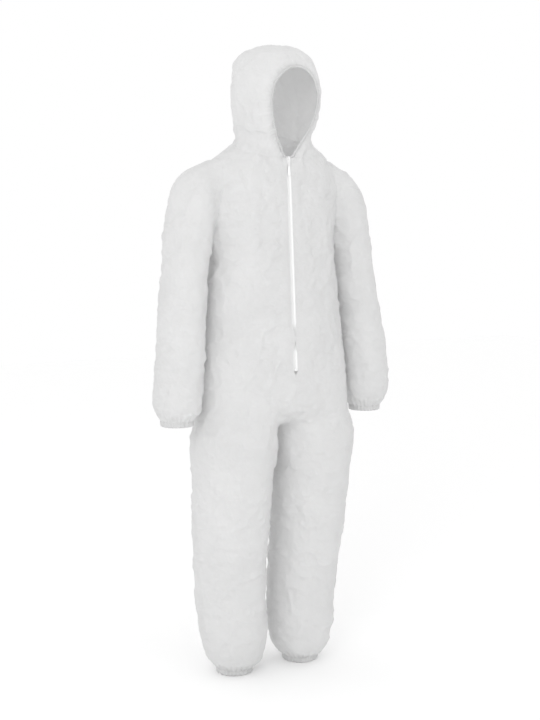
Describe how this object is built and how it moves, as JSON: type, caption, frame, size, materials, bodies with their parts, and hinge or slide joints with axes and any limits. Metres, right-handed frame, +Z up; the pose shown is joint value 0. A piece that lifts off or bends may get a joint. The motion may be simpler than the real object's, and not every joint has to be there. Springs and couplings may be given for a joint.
{
  "type": "chemical protective suit",
  "caption": "White hooded protective coverall shown as worn, with front zip, gathered face opening, and elasticated wrists and ankles.",
  "frame": {"origin": "centre of the suit's footprint, at the level of the flat lower edges of the ankle hems", "axes": "+Z up the body, -Y out of the front (the zip side), -X towards the wearer's right"},
  "size_m": [0.7456, 0.2634, 1.773],
  "materials": {
    "fabric": "matte",
    "hem": "matte",
    "elastic": "matte",
    "tape": "matte",
    "plastic": "satin",
    "label": "matte"
  },
  "bodies": {
    "torso": {"torso_front_right": "fabric", "torso_front_left": "fabric", "torso_back_right": "fabric", "torso_back_left": "fabric", "zip_tape_right": "tape", "zip_tape_left": "tape", "zip_teeth_right": "plastic", "zip_teeth_left": "plastic", "zip_top_stop_right": "plastic", "zip_top_stop_left": "plastic", "zip_bottom_stop": "plastic", "neck_label": "label"},
    "hood": {"hood_right": "fabric", "hood_left": "fabric", "face_hem": "hem", "face_elastic": "elastic"},
    "upper_arm_right": {"upper_sleeve_right": "fabric"},
    "upper_arm_left": {"upper_sleeve_left": "fabric"},
    "lower_arm_right": {"forearm_right": "fabric", "wrist_hem_right": "hem", "wrist_elastic_right": "elastic"},
    "lower_arm_left": {"forearm_left": "fabric", "wrist_hem_left": "hem", "wrist_elastic_left": "elastic"},
    "upper_leg_right": {"thigh_right": "fabric"},
    "upper_leg_left": {"thigh_left": "fabric"},
    "lower_leg_right": {"shin_right": "fabric", "ankle_hem_right": "hem", "ankle_elastic_right": "elastic"},
    "lower_leg_left": {"shin_left": "fabric", "ankle_hem_left": "hem", "ankle_elastic_left": "elastic"},
    "slider": {"zip_slider": "plastic"},
    "puller": {"zip_puller": "plastic"}
  },
  "joints": [
    {"name": "hood_nod", "type": "hinge", "parent": "torso", "child": "hood", "pos_m": [0, 0, 1.555], "axis": [1, 0, 0], "range_deg": [-20, 25]},
    {"name": "shoulder_right", "type": "hinge", "parent": "torso", "child": "upper_arm_right", "pos_m": [-0.215, 0.02, 1.375], "axis": [0, 1, 0], "range_deg": [0, 65]},
    {"name": "shoulder_left", "type": "hinge", "parent": "torso", "child": "upper_arm_left", "pos_m": [0.215, 0.02, 1.375], "axis": [0, -1, 0], "range_deg": [0, 65]},
    {"name": "elbow_right", "type": "hinge", "parent": "upper_arm_right", "child": "lower_arm_right", "pos_m": [-0.294, -0.006, 1], "axis": [-1, 0, 0], "range_deg": [0, 80]},
    {"name": "elbow_left", "type": "hinge", "parent": "upper_arm_left", "child": "lower_arm_left", "pos_m": [0.294, -0.006, 1], "axis": [-1, 0, 0], "range_deg": [0, 80]},
    {"name": "hip_right", "type": "hinge", "parent": "torso", "child": "upper_leg_right", "pos_m": [-0.1285, -0.006, 0.7], "axis": [-1, 0, 0], "range_deg": [-10, 40]},
    {"name": "hip_left", "type": "hinge", "parent": "torso", "child": "upper_leg_left", "pos_m": [0.1285, -0.006, 0.7], "axis": [-1, 0, 0], "range_deg": [-10, 40]},
    {"name": "knee_right", "type": "hinge", "parent": "upper_leg_right", "child": "lower_leg_right", "pos_m": [-0.129, 0.017, 0.4], "axis": [1, 0, 0], "range_deg": [0, 60]},
    {"name": "knee_left", "type": "hinge", "parent": "upper_leg_left", "child": "lower_leg_left", "pos_m": [0.129, 0.017, 0.4], "axis": [1, 0, 0], "range_deg": [0, 60]},
    {"name": "zip_slide", "type": "slide", "parent": "torso", "child": "slider", "axis": [0, -0.0682, -0.9977], "range_m": [0, 0.56]},
    {"name": "puller_swing", "type": "hinge", "parent": "slider", "child": "puller", "pos_m": [0, -0.08662, 1.45158], "axis": [-1, 0, 0], "range_deg": [0, 160]}
  ]
}
